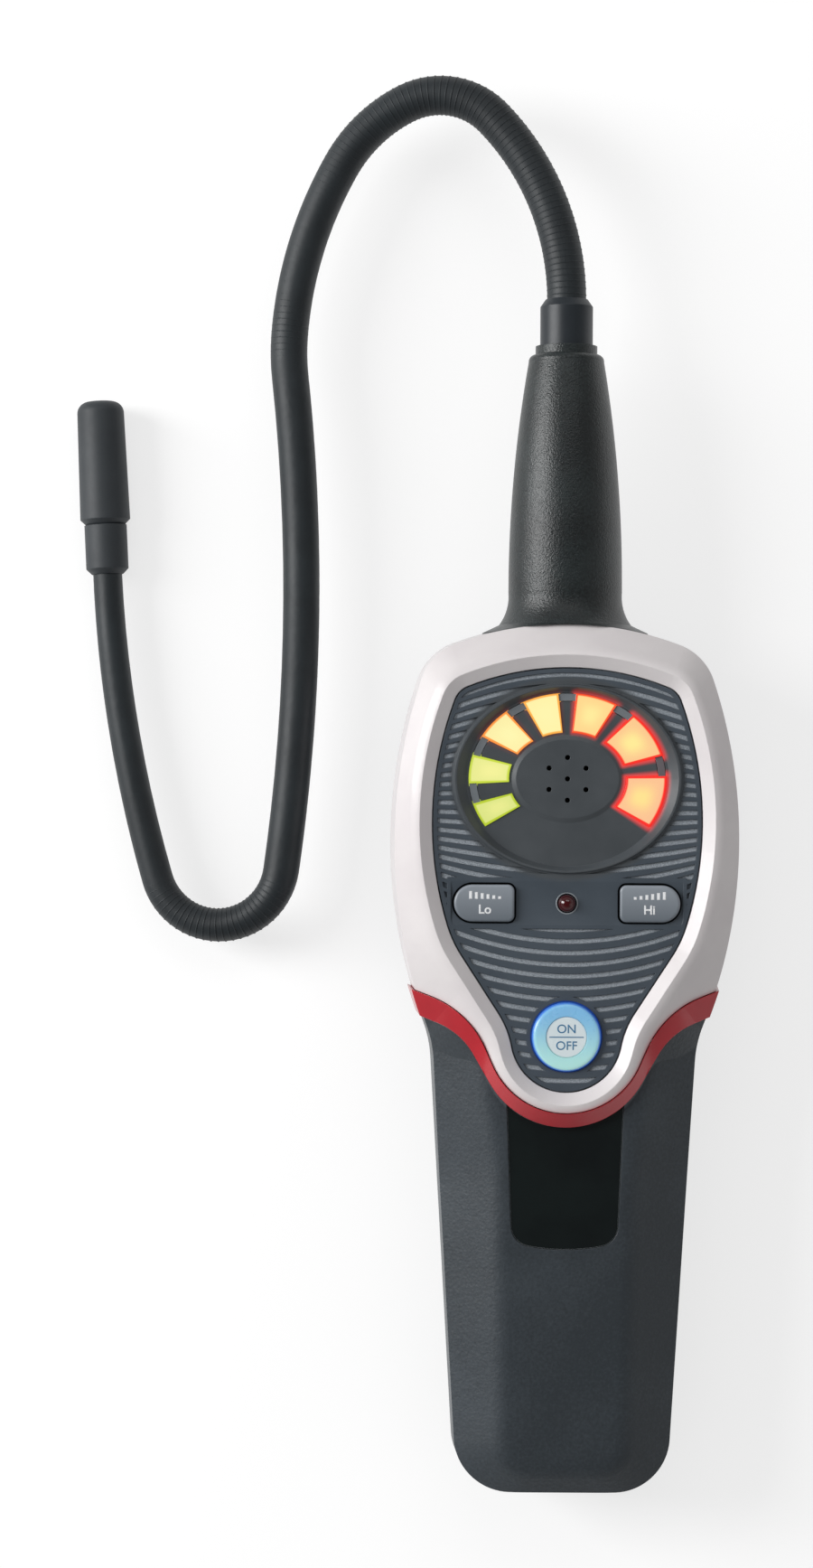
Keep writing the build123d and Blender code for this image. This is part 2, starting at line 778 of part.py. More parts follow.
nodes["battery_contact_positive"] = make_contact(-cell_pitch / 2, bay_start_y, -1)
nodes["battery_contact_negative"] = make_contact(cell_pitch / 2, bay_start_y, -1)
link = make_contact(-cell_pitch / 2, bay_end_y, 1) + make_contact(cell_pitch / 2, bay_end_y, 1)
link += block(-cell_pitch / 2, cell_pitch / 2, bay_end_y, bay_end_y + contact_thickness,
              cell_height - 2, cell_height + 2)
nodes["battery_link_plate"] = link

def make_screw(x, y):
    """A cross-recessed screw that enters from the back."""
    face = screw_seat - screw_head_height
    screw = barrel(screw_head_radius, face, screw_seat, x, y)
    screw += barrel(screw_radius, screw_seat - 0.1, screw_seat + screw_length, x, y)
    for width, height in ((screw_recess, screw_slot), (screw_slot, screw_recess)):
        screw -= block(x - width / 2, x + width / 2, y - height / 2, y + height / 2, face - 1, face + screw_recess / 2)
    return screw.solid()


nodes["case_screws"] = Compound(children=[make_screw(x, y) for x, y in screw_places()])


# Neck boot, ferrule and gooseneck

def turned(profile):
    """A profile drawn as (radius, distance along Y), turned about the probe axis."""
    plane = Plane(origin=(0, 0, neck_height), x_dir=(1, 0, 0), z_dir=(0, 0, 1))
    return revolve(plane * profile, Axis((0, 0, neck_height), (0, 1, 0)))


def make_boot():
    flare_middle = (boot_root_radius + 0.55, boot_base_y + 2.9)
    shoulder = boot_neck_radius - 1.5
    lines = [
        Line((boot_bore_radius, boot_flange_y - 5), (boot_flange_half_width, boot_flange_y - 5)),
        Line((boot_flange_half_width, boot_flange_y - 5), (boot_flange_half_width, boot_flange_y)),
        Line((boot_flange_half_width, boot_flange_y), (boot_base_radius, boot_base_y)),
        ThreePointArc((boot_base_radius, boot_base_y), flare_middle, (boot_root_radius, boot_root_y)),
        ThreePointArc((boot_root_radius, boot_root_y), (boot_waist_radius, boot_waist_y),
                      (boot_neck_radius, boot_neck_y)),
        ThreePointArc((boot_neck_radius, boot_neck_y), (boot_neck_radius - 0.4, boot_neck_y + 1.1),
                      (shoulder, boot_neck_y + 1.5)),
        Line((shoulder, boot_neck_y + 1.5), (boot_ring_radius, boot_neck_y + 1.5)),
        Line((boot_ring_radius, boot_neck_y + 1.5), (boot_ring_radius, boot_top_y)),
        Line((boot_ring_radius, boot_top_y), (boot_bore_radius, boot_top_y)),
        Line((boot_bore_radius, boot_top_y), (boot_bore_radius, boot_flange_y - 5)),
    ]
    boot = turned(make_face(Wire([line for line in lines if line.length > 0.01])))
    flange_room = block(-far, far, boot_spigot_y, boot_base_y + 1, neck_height - boot_base_radius,
                        neck_height + boot_base_radius)
    boot = boot - (block(-far, far, -far, boot_base_y + 1, -far, far) - flange_room)
    boot = boot - upper_walls(0) - lower_form
    spigot = neck_barrel(boot_spigot_radius, boot_spigot_y, boot_base_y) + neck_barrel(
        boot_collar_radius, boot_spigot_y, boot_spigot_y + boot_collar_length)
    return boot + (spigot - neck_barrel(boot_bore_radius, 0, far))


def make_ferrule():
    inner = gooseneck_root_diameter / 2 + probe_fit
    core = core_diameter / 2 + probe_fit
    shank_radius = boot_bore_radius - probe_fit
    low = boot_top_y - ferrule_shank
    points = [
        (core, low), (shank_radius, low), (shank_radius, boot_top_y), (ferrule_radius, boot_top_y),
        (ferrule_radius, ferrule_top_y - ferrule_chamfer), (ferrule_radius - ferrule_chamfer / 2 - 0.3, ferrule_top_y),
        (inner, ferrule_top_y), (inner, gooseneck_start_y), (core, gooseneck_start_y),
    ]
    return turned(Polygon(*points, align=None))


lean = degrees(asin((neck_height - cap_base_radius - probe_lift) / probe_reach))
neck_line = Plane(origin=(0, 0, neck_height), x_dir=(cos(radians(lean)), 0, sin(radians(lean))),
                  z_dir=(-sin(radians(lean)), 0, cos(radians(lean))))


def gooseneck_path():
    """The centre line as tangent pieces, each with the diameter at its end."""
    run = Line((0, gooseneck_start_y), (0, gooseneck_exit_y))
    pieces, heading = [(neck_line * run, gooseneck_root_diameter)], 90.0
    place = run @ 1
    for radius, turn, diameter in gooseneck_bends:
        side = 1 if turn > 0 else -1
        centre = place + Vector(-sin(radians(heading)), cos(radians(heading))) * radius * side
        arc = CenterArc(centre, radius, heading - 90 * side, turn)
        pieces.append((neck_line * arc, diameter))
        place, heading = arc @ 1, heading + turn
    pieces.append((neck_line * PolarLine(place, socket_grip, heading), gooseneck_bends[-1][2]))
    return pieces


def ring_at(edge, place, diameter):
    return Plane(origin=edge @ place, z_dir=edge % place) * Circle(diameter / 2)


gooseneck = gooseneck_path()
sleeve = Part()
last_diameter = gooseneck_root_diameter
for edge, diameter in gooseneck:
    sleeve += sweep([ring_at(edge, 0, last_diameter), ring_at(edge, 1, diameter)], path=edge, multisection=True)
    last_diameter = diameter
tail_run = neck_line * Line((0, gooseneck_start_y - core_tail), (0, gooseneck_start_y))
core_wire = Wire([tail_run] + [edge for edge, _ in gooseneck])
core = sweep(ring_at(tail_run, 0, core_diameter), path=core_wire)
sleeve -= sweep(ring_at(tail_run, 0, core_diameter + 2 * probe_fit), path=core_wire)

nodes["neck_boot"] = make_boot()
nodes["ferrule"] = make_ferrule()
nodes["gooseneck_sleeve"] = sleeve
nodes["gooseneck_core"] = core
nut_low = gooseneck_start_y - core_tail + 1
nut = RegularPolygon(nut_across_flats / 2, 6, major_radius=False) - Circle(core_diameter / 2 + probe_fit)
nodes["neck_nut"] = extrude(neck_plane(nut_low) * nut, amount=nut_height)


# Sensor head, drawn along the last direction of the gooseneck

tip_edge = gooseneck[-1][0]
tip = Plane(origin=tip_edge @ 1, z_dir=tip_edge % 1)


def turned_on_tip(profile):
    """A profile drawn as (radius, distance past the sleeve's end), turned about the probe's last direction."""
    plane = Plane(origin=tip.origin, x_dir=tip.x_dir, z_dir=tip.y_dir * -1)
    return revolve(plane * profile, Axis(tip.origin, tip.z_dir))


def make_socket():
    hose = last_diameter / 2 + probe_fit
    stem = element_stem_radius + probe_fit
    rim = socket_radius - socket_chamfer
    return turned_on_tip(Polygon(
        (hose, -socket_grip), (rim, -socket_grip), (socket_radius, socket_chamfer - socket_grip),
        (socket_radius, socket_end), (stem, socket_end),
        (stem, probe_fit), (hose, probe_fit), align=None,
    ))


def make_cap():
    top = socket_end + cap_length
    stem = element_stem_radius + probe_fit
    profile = Polygon(
        (stem, socket_end), (cap_base_radius - cap_chamfer, socket_end), (cap_base_radius, socket_end + cap_chamfer),
        (cap_tip_radius, top), (cap_inlet_radius, top), (cap_inlet_radius, top - cap_tip_wall),
        (cap_bore_radius, top - cap_tip_wall), (cap_bore_radius, socket_end + cap_base_wall),
        (stem, socket_end + cap_base_wall), align=None,
    )
    shoulder = min(profile.vertices(), key=lambda v: hypot(v.X - cap_tip_radius, v.Y - top))
    return turned_on_tip(fillet(shoulder, cap_shoulder))


def make_element():
    seat = socket_end + cap_base_wall
    stem = element_stem_radius
    return turned_on_tip(Polygon(
        (0, 2 * probe_fit), (stem, 2 * probe_fit), (stem, seat + probe_fit), (element_radius, seat + probe_fit),
        (element_radius, seat + element_length), (0, seat + element_length), align=None,
    ))


socket_end = socket_length - socket_grip
nodes["sensor_socket"] = make_socket()
nodes["sensor_cap"] = make_cap()
nodes["sensor_element"] = make_element()

print("sleeve", round(sleeve.volume), sleeve.is_valid, "tip", tip.origin, tip.z_dir)
os.makedirs("parts", exist_ok=True)
for name, shape in nodes.items():
    solids = shape.solids()
    print(name, len(solids), round(shape.volume), shape.is_valid)
    export_step(shape, f"parts/{name}.step")
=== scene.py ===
import bpy
import bmesh
from math import cos, pi, radians, sin
from mathutils import Matrix, Vector


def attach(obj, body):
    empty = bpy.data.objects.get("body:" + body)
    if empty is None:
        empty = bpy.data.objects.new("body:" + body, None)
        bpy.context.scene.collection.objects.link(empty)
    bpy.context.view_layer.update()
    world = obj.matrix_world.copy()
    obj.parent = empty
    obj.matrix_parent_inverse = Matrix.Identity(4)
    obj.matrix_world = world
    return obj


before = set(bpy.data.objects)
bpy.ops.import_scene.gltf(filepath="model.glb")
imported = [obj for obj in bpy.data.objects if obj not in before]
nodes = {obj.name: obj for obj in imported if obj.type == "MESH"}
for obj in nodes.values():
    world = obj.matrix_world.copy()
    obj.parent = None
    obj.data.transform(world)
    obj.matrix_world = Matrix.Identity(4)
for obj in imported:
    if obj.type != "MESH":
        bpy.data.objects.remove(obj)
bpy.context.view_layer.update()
scene = bpy.context.scene
mm = 0.001

# Places on the detector, in millimetres along the frame's own axes
dial_size, hub_size = (21.2, 18.4), (12.7, 10.1)
window_skirt_z, window_face_z = 37.5, 38.15
groove_floor_z, rib_top_z = 38.5, 38.95
key_row_y, key_row_low_y, key_row_high_y = -26.8, -31.4, -22.2
key_x, key_top_z = 17.7, 40.0
power_y, power_disc_z = -55.5, 40.35
neck_height, probe_start_y = 22, 105.0


# Colours and node helpers

def srgb(r, g, b):
    """A colour as a screen shows it, turned into the linear values that shaders take."""
    def linear(v):
        v /= 255
        return v / 12.92 if v <= 0.04045 else ((v + 0.055) / 1.055) ** 2.4
    return (linear(r), linear(g), linear(b), 1.0)


class Graph:
    """Adds nodes to one tree and links them by socket name, or by place for a name such as #2."""

    def __init__(self, tree):
        self.tree = tree

    def add(self, kind, settings=None, **inputs):
        node = self.tree.nodes.new(kind)
        for key, value in (settings or {}).items():
            setattr(node, key, value)
        for key, value in inputs.items():
            self.put(node, key.replace("_", " "), value)
        return node

    def put(self, node, key, value):
        socket = node.inputs[int(key[1:])] if key[0] == "#" else node.inputs[key]
        if isinstance(value, bpy.types.NodeSocket):
            self.tree.links.new(value, socket)
        else:
            socket.default_value = value

    def math(self, operation, *values, clamp=False):
        node = self.add("ShaderNodeMath", {"operation": operation, "use_clamp": clamp})
        for k, value in enumerate(values):
            self.put(node, f"#{k}", value)
        return node.outputs[0]

    def vector(self, operation, *values):
        """The outputs of one step of vector arithmetic."""
        node = self.add("ShaderNodeVectorMath", {"operation": operation})
        for k, value in enumerate(values):
            self.put(node, f"#{k}", value)
        return node.outputs

    def mix(self, factor, a, b):
        node = self.add("ShaderNodeMix", {"data_type": "RGBA"})
        for key, value in (("#0", factor), ("#6", a), ("#7", b)):
            self.put(node, key, value)
        return node.outputs[2]

    def span(self, value, low, high, to_low=0.0, to_high=1.0, kind="LINEAR"):
        node = self.add("ShaderNodeMapRange", {"interpolation_type": kind}, Value=value)
        numbers = {"From Min": low, "From Max": high, "To Min": to_low, "To Max": to_high}
        for key, number in numbers.items():
            self.put(node, key, number)
        return node.outputs[0]

    def noise(self, vector, scale, detail=3.0, roughness=0.55):
        node = self.add("ShaderNodeTexNoise", Vector=vector, Scale=scale, Detail=detail,
                        Roughness=roughness)
        return node.outputs["Fac"]


def shader_group(name, inputs, outputs, fill):
    tree = bpy.data.node_groups.new(name, "ShaderNodeTree")
    for label, kind, value in inputs:
        socket = tree.interface.new_socket(name=label, in_out="INPUT", socket_type=kind)
        if value is not None:
            socket.default_value = value
    for label, kind in outputs:
        tree.interface.new_socket(name=label, in_out="OUTPUT", socket_type=kind)
    source, sink = tree.nodes.new("NodeGroupInput"), tree.nodes.new("NodeGroupOutput")
    for label, value in fill(Graph(tree), source.outputs).items():
        tree.links.new(value, sink.inputs[label])
    return tree


# Shared surface effects

def fill_drift(g, i):
    """One colour drifting into another in clouds, with fine flecks."""
    cloud = g.noise(i["Vector"], i["Scale"], 4.0)
    fine = g.noise(i["Vector"], i["Fleck Scale"], 2.0)
    flecks = g.math("MULTIPLY", g.math("SUBTRACT", fine, 0.5), i["Fleck"])
    blend = g.math("ADD", g.span(cloud, 0.35, 0.65), flecks)
    return {"Color": g.mix(g.math("MULTIPLY", blend, 1.0, clamp=True), i["First"], i["Second"])}


def fill_edges(g, i):
    """A mask of worn edges, the bend of the surface, and its normal with rounded edges."""
    bevel = g.add("ShaderNodeBevel", {"samples": 6}, Radius=i["Radius"])
    surface = g.add("ShaderNodeNewGeometry")
    likeness = g.vector("DOT_PRODUCT", bevel.outputs[0], surface.outputs["Normal"])["Value"]
    still_flat, fully_bent = 0.995, 0.85
    bend = g.span(likeness, still_flat, fully_bent)
    chips = g.span(g.noise(i["Vector"], 420.0, 5.0, 0.65), 0.42, 0.62)
    return {"Mask": g.math("MULTIPLY", g.math("MULTIPLY", bend, chips), i["Amount"], clamp=True),
            "Bend": bend, "Normal": bevel.outputs[0]}


def fill_spark(g, i):
    """The height of a moulded grain of small pits."""
    pits = g.add("ShaderNodeTexVoronoi", {"feature": "F1"}, Vector=i["Vector"], Scale=i["Scale"])
    grain = g.noise(i["Vector"], g.math("MULTIPLY", i["Scale"], 0.6), 3.0)
    return {"Height": g.math("ADD", g.math("MULTIPLY", pits.outputs["Distance"], 0.5), grain)}


def fill_smudge(g, i):
    """Gloss that varies between two levels, as a handled surface does."""
    broad = g.noise(i["Vector"], 55.0, 4.0, 0.6)
    fine = g.noise(i["Vector"], 900.0, 2.0)
    level = g.math("ADD", g.math("MULTIPLY", broad, 0.75), g.math("MULTIPLY", fine, 0.25))
    return {"Roughness": g.span(level, 0.3, 0.7, i["Low"], i["High"])}


vector, number, tint = "NodeSocketVector", "NodeSocketFloat", "NodeSocketColor"
place_input = ("Vector", vector, None)
colour_drift = shader_group(
    "Colour Drift",
    [place_input, ("First", tint, None), ("Second", tint, None), ("Scale", number, 60.0),
     ("Fleck", number, 0.2), ("Fleck Scale", number, 2600.0)],
    [("Color", tint)], fill_drift)
edge_wear = shader_group(
    "Edge Wear", [place_input, ("Radius", number, 0.0003), ("Amount", number, 0.5)],
    [("Mask", number), ("Bend", number), ("Normal", vector)], fill_edges)
spark_grain = shader_group(
    "Spark Grain", [place_input, ("Scale", number, 2400.0)], [("Height", number)], fill_spark)
smudges = shader_group(
    "Smudges", [place_input, ("Low", number, 0.3), ("High", number, 0.45)],
    [("Roughness", number)], fill_smudge)


def group_node(g, tree, **inputs):
    node = g.tree.nodes.new("ShaderNodeGroup")
    node.node_tree = tree
    for key, value in inputs.items():
        g.put(node, key, value)
    return node.outputs


class Finish:
    """One surface finish: drifting colour, worn edges, smudged gloss and a grain."""

    def __init__(self, name, first, second, rough=(0.35, 0.5), edge=None, wear=0.4, radius=0.25,
                 grain=None, bump=0.1, depth=0.02, fleck=0.2, fleck_scale=2600.0, scale=60.0,
                 **constants):
        self.material = bpy.data.materials.new(name)
        self.material.use_nodes = True
        tree = self.material.node_tree
        tree.nodes.clear()
        self.g = g = Graph(tree)
        self.shader = tree.nodes.new("ShaderNodeBsdfPrincipled")
        output = tree.nodes.new("ShaderNodeOutputMaterial")
        tree.links.new(self.shader.outputs[0], output.inputs["Surface"])
        self.at = tree.nodes.new("ShaderNodeTexCoord").outputs["Object"]
        drift = {"Vector": self.at, "First": first, "Second": second, "Scale": scale,
                 "Fleck": fleck, "Fleck Scale": fleck_scale}
        worn = group_node(g, edge_wear, Vector=self.at, Radius=radius * mm, Amount=wear)
        self.bend = worn["Bend"]
        self.paint(g.mix(worn["Mask"], group_node(g, colour_drift, **drift)[0], edge or second))
        gloss = group_node(g, smudges, Vector=self.at, Low=rough[0], High=rough[1])
        g.put(self.shader, "Roughness", gloss["Roughness"])
        normal = worn["Normal"]
        if grain:
            kind, size = grain
            height = group_node(g, kind, Vector=self.at, Scale=size)["Height"]
            normal = g.add("ShaderNodeBump", Strength=bump, Distance=depth * mm, Height=height,
                           Normal=normal).outputs[0]
        g.put(self.shader, "Normal", normal)
        for key, value in constants.items():
            self.shader.inputs[key.replace("_", " ")].default_value = value

    def paint(self, colour):
        self.colour = colour
        self.g.put(self.shader, "Base Color", colour)

    def glow(self, colour, amount):
        """Light given off by the surface, or glow painted on it: a colour, times an amount that changes
        over the surface.
        """
        self.g.put(self.shader, "Emission Color", self.g.mix(amount, (0, 0, 0, 1), colour))
        self.shader.inputs["Emission Strength"].default_value = 1.0

    def axis(self, name):
        return self.g.add("ShaderNodeSeparateXYZ", Vector=self.at).outputs[name]


# Housing finishes

bezel_finish = Finish(
    "Bezel plastic", srgb(231, 226, 226), srgb(224, 218, 219), (0.3, 0.42),
    edge=srgb(238, 235, 234), wear=0.3, grain=(spark_grain, 3200.0), bump=0.05, fleck=0.1,
    Coat_Weight=0.1)
coarse_grain = dict(grain=(spark_grain, 1500.0), bump=0.7, depth=0.08, fleck=1.8,
                    fleck_scale=1500.0, scale=25.0)
handle_finish = Finish(
    "Handle plastic", srgb(62, 69, 75), srgb(50, 56, 61), (0.36, 0.48), edge=srgb(90, 96, 102),
    wear=0.3, **coarse_grain)
back_finish = Finish(
    "Back shell plastic", srgb(56, 61, 66), srgb(46, 50, 55), (0.42, 0.56),
    edge=srgb(86, 91, 96), **coarse_grain)
trim_finish = Finish(
    "Red trim plastic", srgb(190, 34, 46), srgb(170, 26, 38), (0.2, 0.28),
    edge=srgb(226, 92, 98), wear=0.35, fleck=0.1, Coat_Weight=0.2, Coat_Roughness=0.08)
# The label's edges are pale where they bend, partly as wear and partly as a painted highlight
label_finish = Finish(
    "Label plastic", srgb(20, 27, 27), srgb(14, 19, 20), (0.1, 0.2), edge=srgb(150, 156, 160),
    wear=1.6, radius=0.2, fleck=0.1, Coat_Weight=0.4, Coat_Roughness=0.06)
panel_finish = Finish(
    "Control panel plastic", srgb(74, 83, 92), srgb(66, 75, 84), (0.36, 0.48),
    edge=srgb(112, 122, 131), wear=0.2, radius=0.2, grain=(spark_grain, 4200.0), bump=0.08,
    fleck=0.4)

# Probe finishes

boot_finish = Finish(
    "Boot rubber", srgb(34, 42, 43), srgb(18, 24, 25), (0.34, 0.42), edge=srgb(78, 84, 86),
    wear=0.3, grain=(spark_grain, 3000.0), bump=1.0, depth=0.09, fleck=2.6, fleck_scale=1700.0,
    Specular_IOR_Level=0.6)
ferrule_finish = Finish(
    "Ferrule plastic", srgb(34, 41, 47), srgb(26, 32, 38), (0.4, 0.5), edge=srgb(96, 104, 110),
    grain=(spark_grain, 3600.0), bump=0.06)
sleeve_finish = Finish(
    "Probe sleeve rubber", srgb(36, 43, 47), srgb(27, 33, 37), (0.46, 0.58),
    edge=srgb(76, 83, 88), grain=(spark_grain, 3000.0), bump=0.15, fleck=0.5)
sensor_finish = Finish(
    "Sensor head plastic", srgb(52, 57, 61), srgb(44, 49, 53), (0.5, 0.62),
    edge=srgb(92, 97, 100), grain=(spark_grain, 3000.0), bump=0.12, fleck=0.5)
core_finish = Finish(
    "Probe core steel", srgb(130, 132, 134), srgb(104, 106, 108), (0.3, 0.44),
    edge=srgb(190, 190, 190), fleck=0.6, Metallic=1.0)

# Button, lamp and print finishes

key_finish = Finish(
    "Key plastic", srgb(132, 139, 147), srgb(124, 131, 139), (0.3, 0.42),
    edge=srgb(160, 166, 172), grain=(spark_grain, 4200.0), bump=0.05)
disc_finish = Finish(
    "Power disc plastic", srgb(232, 242, 244), srgb(222, 234, 238), (0.22, 0.32),
    edge=srgb(238, 240, 242), grain=(spark_grain, 4200.0), bump=0.04)
ring_finish = Finish(
    "Power ring plastic", srgb(150, 208, 236), srgb(140, 200, 230), (0.24, 0.34),
    edge=srgb(200, 232, 240), Subsurface_Weight=0.15, Coat_Weight=0.2)
lamp_finish = Finish(
    "Status lamp", srgb(74, 8, 14), srgb(52, 4, 9), (0.05, 0.1), edge=srgb(150, 40, 46),
    wear=0.15, Coat_Weight=0.8, Coat_Roughness=0.03)
rim_finish = Finish("Lamp rim plastic", srgb(150, 156, 160), srgb(134, 140, 146), (0.2, 0.3))
diffuser_finish = Finish(
    "Light diffuser", srgb(124, 130, 135), srgb(112, 118, 123), (0.26, 0.36),
    edge=srgb(150, 155, 158), wear=0.2, fleck=0.1)
white_print = Finish("White print", srgb(250, 251, 252), srgb(242, 244, 246), (0.35, 0.45))
blue_print = Finish("Grey blue print", srgb(84, 140, 180), srgb(74, 130, 170), (0.35, 0.45))

# Finishes inside the housing

board_finish = Finish(
    "Circuit board", srgb(28, 92, 52), srgb(22, 78, 44), (0.3, 0.4), edge=srgb(180, 170, 110),
    fleck=0.6)
chip_finish = Finish(
    "Indicator light chips", srgb(235, 228, 190), srgb(225, 214, 160), (0.3, 0.4))
dark_finish = Finish(
    "Moulded electronics", srgb(34, 35, 37), srgb(26, 27, 29), (0.4, 0.55),
    edge=srgb(66, 68, 70), grain=(spark_grain, 3600.0))
cell_finish = Finish(
    "Battery wrap", srgb(48, 54, 66), srgb(40, 46, 58), (0.16, 0.26), edge=srgb(150, 150, 150),
    Coat_Weight=0.3)
nickel_finish = Finish(
    "Nickel plate", srgb(206, 202, 192), srgb(186, 182, 172), (0.2, 0.34),
    edge=srgb(232, 230, 224), fleck=0.5, Metallic=1.0)
steel_finish = Finish(
    "Screw steel", srgb(150, 152, 156), srgb(120, 122, 126), (0.26, 0.4),
    edge=srgb(205, 206, 208), fleck=0.6, Metallic=1.0)

dressing = {
    bezel_finish: ["bezel"],
    handle_finish: ["front_case"],
    back_finish: ["rear_case", "battery_door"],
    trim_finish: ["trim_band"],
    label_finish: ["label_plate"],
    panel_finish: ["control_panel"],
    boot_finish: ["neck_boot"],
    ferrule_finish: ["ferrule"],
    sleeve_finish: ["gooseneck_sleeve"],
    core_finish: ["gooseneck_core"],
    sensor_finish: ["sensor_socket", "sensor_cap"],
    key_finish: ["sensitivity_low_button", "sensitivity_high_button"],
    ring_finish: ["power_button"],
    disc_finish: ["power_button_disc"],
    lamp_finish: ["status_led"],
    diffuser_finish: ["indicator_lens"],
    board_finish: ["circuit_board"],
    chip_finish: [f"indicator_led_{k}" for k in range(1, 8)],
    dark_finish: ["low_switch", "high_switch", "power_switch", "buzzer", "light_baffle"],
    cell_finish: [f"battery_cell_{k}" for k in range(1, 5)],
    nickel_finish: ["battery_contact_positive", "battery_contact_negative", "battery_link_plate"],
    steel_finish: ["case_screws", "neck_nut", "sensor_element"],
}
for finish, names in dressing.items():
    for name in names:
        nodes[name].data.materials.clear()
        nodes[name].data.materials.append(finish.material)


# A thin pale line painted along the label's edge as a highlight, where the edge would catch the light

g = label_finish.g
painted_edge_highlight = g.span(label_finish.bend, 0.02, 0.3, 0.0, 0.8)
label_finish.paint(g.mix(painted_edge_highlight, label_finish.colour, srgb(150, 156, 160)))


# Places on the dial

def ellipse_reach(g, x, y, size):
    """How far out a place is, as a share of an ellipse's own edge."""
    parts = [g.math("POWER", g.math("MULTIPLY", value, 1 / (half * mm)), 2.0)
             for value, half in zip((x, y), size)]
    return g.math("SQRT", g.math("ADD", *parts))


def dial_place(finish):
    """Direction from the dial's centre, from -90 to 270 degrees, and reach on both ellipses."""
    g = finish.g
    x, y = finish.axis("X"), finish.axis("Y")
    turn = g.math("MULTIPLY", g.math("ARCTAN2", y, x), 180 / pi)
    turn = g.math("ADD", turn, g.math("MULTIPLY", g.math("LESS_THAN", turn, -90.0), 360.0))
    return turn, ellipse_reach(g, x, y, dial_size), ellipse_reach(g, x, y, hub_size)


def band(g, value, low, high, soft):
    """One between low and high, fading to zero over the soft distance outside them."""
    rise = g.span(value, low - soft, low, kind="SMOOTHSTEP")
    return g.math("MULTIPLY", rise, g.span(value, high, high + soft, 1.0, 0.0, kind="SMOOTHSTEP"))


# Lit windows: their two ends as directions in degrees, the colours of their middle, body and
# rim, and how much painted red glow is put on the dial beside them
window_looks = [
    (195, 210, (228, 231, 140), (217, 225, 132), (184, 204, 52), 0.0),
    (166, 183, (239, 237, 150), (230, 232, 143), (198, 216, 66), 0.0),
    (132.5, 154, (249, 241, 172), (248, 236, 166), (255, 152, 66), 0.05),
    (96.5, 120.5, (249, 240, 170), (250, 238, 166), (255, 176, 76), 0.05),
    (56.5, 84.5, (252, 230, 152), (251, 212, 140), (252, 84, 44), 0.4),
    (14, 44.5, (250, 230, 148), (247, 198, 140), (252, 54, 40), 0.8),
    (-30, 2, (251, 222, 142), (247, 192, 144), (252, 50, 42), 0.8),
]


# Control panel: grooves between its ribs painted light grey with a speckled grain, as a painted
# highlight where light catches the ribs, with painted shade along their edges, and a darker dial

g = panel_finish.g
speckle = g.span(g.noise(panel_finish.at, 5200.0, 2.0), 0.36, 0.64)
# Painted highlight: the grooves are light grey with speckles, standing in for light on the ribs' faces
groove_highlight_and_shade = g.mix(speckle, srgb(112, 120, 128), srgb(176, 183, 190))
# Painted shade: a dark line where the grooves' edges bend
groove_highlight_and_shade = g.mix(g.span(panel_finish.bend, 0.05, 0.5), groove_highlight_and_shade, srgb(38, 43, 49))
rib = g.span(panel_finish.axis("Z"), groove_floor_z * mm, rib_top_z * mm, kind="SMOOTHSTEP")
key_row = band(g, panel_finish.axis("Y"), key_row_low_y * mm, key_row_high_y * mm, 0.1 * mm)
ribbed = g.mix(g.math("MAXIMUM", rib, key_row), groove_highlight_and_shade, panel_finish.colour)
turn, outer, inner = dial_place(panel_finish)
dial_cloud = g.span(g.noise(panel_finish.at, 90.0), 0.35, 0.65)
dial_tone = g.mix(dial_cloud, srgb(78, 83, 87), srgb(70, 75, 79))
off_the_dial = g.span(outer, 1.16, 1.22)
panel_finish.paint(g.mix(off_the_dial, dial_tone, ribbed))

# Red glow painted on the dial beside the last windows, standing in for the light they throw there

painted_red_halo = 0.0
for low, high, _, _, _, painted_glow_amount in window_looks:
    if painted_glow_amount:
        beside = g.math("MULTIPLY", band(g, turn, low, high, 4.5), band(g, outer, 0.5, 1.0, 0.07))
        beside = g.math("MULTIPLY", beside, g.span(inner, 0.9, 1.0, kind="SMOOTHSTEP"))
        painted_red_halo = g.math("MAXIMUM", painted_red_halo, g.math("MULTIPLY", beside, painted_glow_amount))
panel_finish.glow(srgb(255, 34, 22), painted_red_halo)

# Window colours: a bright heart, a softer body and a thin rim, and a plain link between them

g = diffuser_finish.g
turn, outer, inner = dial_place(diffuser_finish)
height = diffuser_finish.axis("Z")
window_wall = g.math("ADD", g.math("GREATER_THAN", height, window_face_z * mm),
                     g.math("LESS_THAN", height, window_skirt_z * mm))
rim_free = g.math("MULTIPLY", g.span(outer, 0.975, 0.99, 1.0, 0.0), g.span(inner, 1.02, 1.045))
across = band(g, outer, 0.76, 0.80, 0.17)
colour, lit = srgb(0, 0, 0), 0.0
for low, high, middle, body, rim, _ in window_looks:
    inside = g.math("MULTIPLY", band(g, turn, low - 1.5, high + 1.5, 0.2), window_wall)
    centre, half = (low + high) / 2, (high - low) / 2
    heart = g.math("MULTIPLY", band(g, turn, centre - 1, centre + 1, half * 0.85), across)
    plain = g.math("MULTIPLY", band(g, turn, low + 1.7, high - 1.7, 0.7), rim_free)
    look = g.mix(plain, srgb(*rim), g.mix(heart, srgb(*body), srgb(*middle)))
    colour = g.mix(inside, colour, look)
    lit = g.math("MAXIMUM", lit, inside)
link = g.mix(band(g, turn, 0.0, 16.0, 1.0), diffuser_finish.colour, srgb(108, 102, 106))
diffuser_finish.paint(g.mix(lit, link, g.mix(0.75, colour, srgb(0, 0, 0))))
diffuser_finish.glow(colour, g.math("MULTIPLY", lit, 0.86))

# Power ring: blue at the top, mint at the bottom, with a deep blue edge

